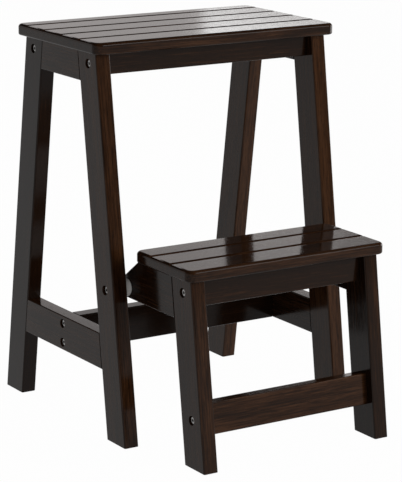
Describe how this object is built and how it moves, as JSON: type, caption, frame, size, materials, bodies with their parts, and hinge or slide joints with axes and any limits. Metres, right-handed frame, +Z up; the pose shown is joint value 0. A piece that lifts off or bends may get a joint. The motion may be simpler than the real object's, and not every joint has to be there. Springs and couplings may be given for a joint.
{
  "type": "folding step stool",
  "caption": "Dark lacquered wooden step stool: a grooved seat board on raked legs, and a lower step on arms that swings up and over to stow inside the frame.",
  "frame": {"origin": "on the floor, under the middle of the stool's overall box with the step down", "axes": "+Z up; -Y the way the lower step faces; +X the stool's width, to the right as seen from the front"},
  "size_m": [0.3984, 0.5008, 0.56],
  "materials": {
    "frame_wood": "gloss lacquer, very dark brown, fine straight grain",
    "tread_wood": "gloss lacquer, very dark brown, fine straight grain",
    "bolt_steel": "bright socket-head bolts",
    "zinc_steel": "zinc-plated nuts, washers and screws",
    "spacer_plastic": "light grey, matt"
  },
  "bodies": {
    "main_frame": {"apron_bolt_front_left": "bolt_steel", "apron_bolt_front_right": "bolt_steel", "apron_bolt_rear_left": "bolt_steel", "apron_bolt_rear_right": "bolt_steel", "apron_nut_front_left": "zinc_steel", "apron_nut_front_right": "zinc_steel", "apron_nut_rear_left": "zinc_steel", "apron_nut_rear_right": "zinc_steel", "cross_bolt_left_lower": "bolt_steel", "cross_bolt_left_upper": "bolt_steel", "cross_bolt_right_lower": "bolt_steel", "cross_bolt_right_upper": "bolt_steel", "cross_nut_left_lower": "zinc_steel", "cross_nut_left_upper": "zinc_steel", "cross_nut_right_lower": "zinc_steel", "cross_nut_right_upper": "zinc_steel", "cross_rail": "frame_wood", "front_apron": "frame_wood", "leg_front_left": "frame_wood", "leg_front_right": "frame_wood", "leg_rear_left": "frame_wood", "leg_rear_right": "frame_wood", "lower_rail_left": "frame_wood", "lower_rail_right": "frame_wood", "pivot_bolt_left": "bolt_steel", "pivot_bolt_right": "bolt_steel", "pivot_nut_left": "zinc_steel", "pivot_nut_right": "zinc_steel", "pivot_spacer_left": "spacer_plastic", "pivot_spacer_right": "spacer_plastic", "pivot_washer_left": "zinc_steel", "pivot_washer_right": "zinc_steel", "rear_apron": "frame_wood", "seat_board": "tread_wood", "seat_screw_front_left": "zinc_steel", "seat_screw_front_right": "zinc_steel", "seat_screw_rear_left": "zinc_steel", "seat_screw_rear_right": "zinc_steel", "upper_rail_left": "frame_wood", "upper_rail_right": "frame_wood"},
    "step_unit": {"step_apron": "frame_wood", "step_apron_bolt_left": "bolt_steel", "step_apron_bolt_right": "bolt_steel", "step_apron_nut_left": "zinc_steel", "step_apron_nut_right": "zinc_steel", "step_arm_left": "frame_wood", "step_arm_right": "frame_wood", "step_board": "tread_wood", "step_leg_left": "frame_wood", "step_leg_right": "frame_wood", "step_low_rail": "frame_wood", "step_rail_bolt_left": "bolt_steel", "step_rail_bolt_right": "bolt_steel", "step_rail_nut_left": "zinc_steel", "step_rail_nut_right": "zinc_steel", "step_screw_front_left": "zinc_steel", "step_screw_front_right": "zinc_steel", "step_screw_rear_left": "zinc_steel", "step_screw_rear_right": "zinc_steel"}
  },
  "joints": [
    {"name": "step_hinge", "type": "hinge", "parent": "main_frame", "child": "step_unit", "pos_m": [0, -0.04869, 0.216], "axis": [-1, 0, 0], "range_deg": [0, 182]}
  ]
}
